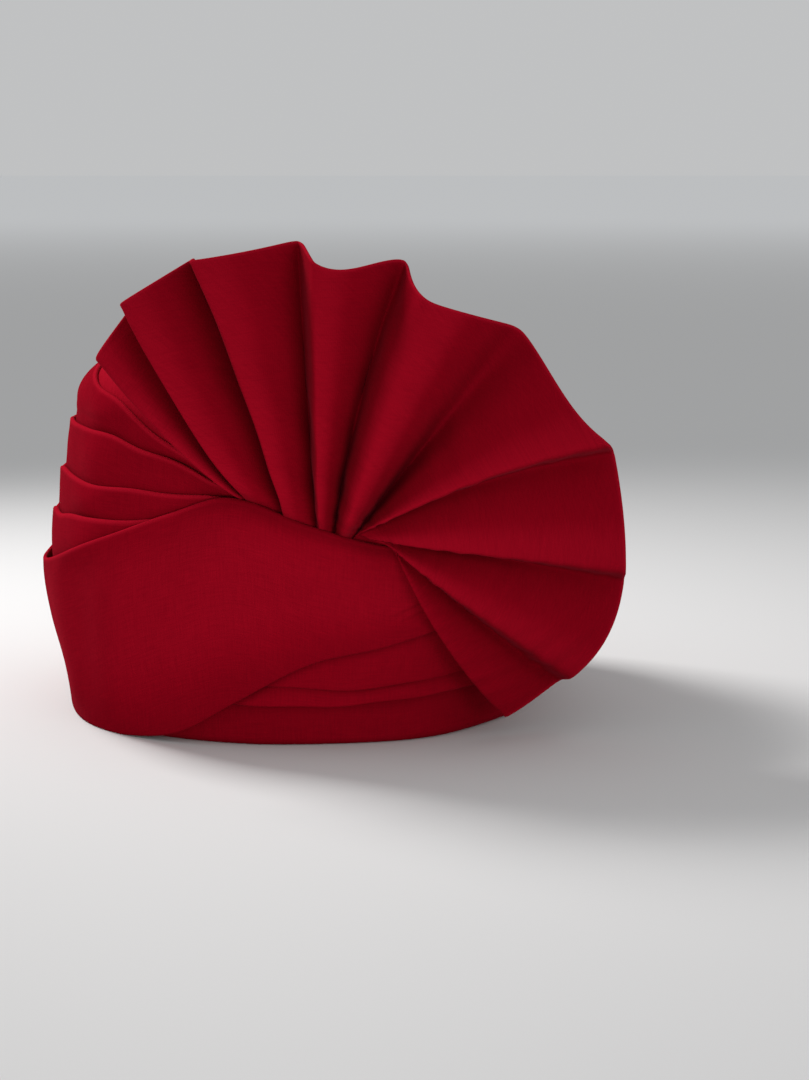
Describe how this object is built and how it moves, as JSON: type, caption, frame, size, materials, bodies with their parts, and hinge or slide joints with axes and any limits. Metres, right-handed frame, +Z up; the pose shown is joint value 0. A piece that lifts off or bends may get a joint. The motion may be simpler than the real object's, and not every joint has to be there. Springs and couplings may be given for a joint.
{
  "type": "tied turban",
  "caption": "Tied turban: padded oval crown wound in flat folds, a wide sash across the front and a pleated fan spread from the knot at one side.",
  "frame": {"origin": "on the plane that the rim rests on, under the middle of the whole object's box", "axes": "+Z up from the rim to the crown, -Y towards the front where the knot and the fan are, +X to the right of someone who looks at the front"},
  "size_m": [0.2494, 0.2678, 0.205],
  "materials": {
    "red_cotton": "matte plain weave, lightly starched"
  },
  "bodies": {
    "root": {"crown_cap": "red_cotton", "crown_wrap_1": "red_cotton", "crown_wrap_2": "red_cotton", "crown_wrap_3": "red_cotton", "crown_wrap_4": "red_cotton", "front_band": "red_cotton", "rim_wrap_1": "red_cotton", "rim_wrap_2": "red_cotton", "rim_wrap_3": "red_cotton", "pleated_fan": "red_cotton"}
  },
  "joints": []
}
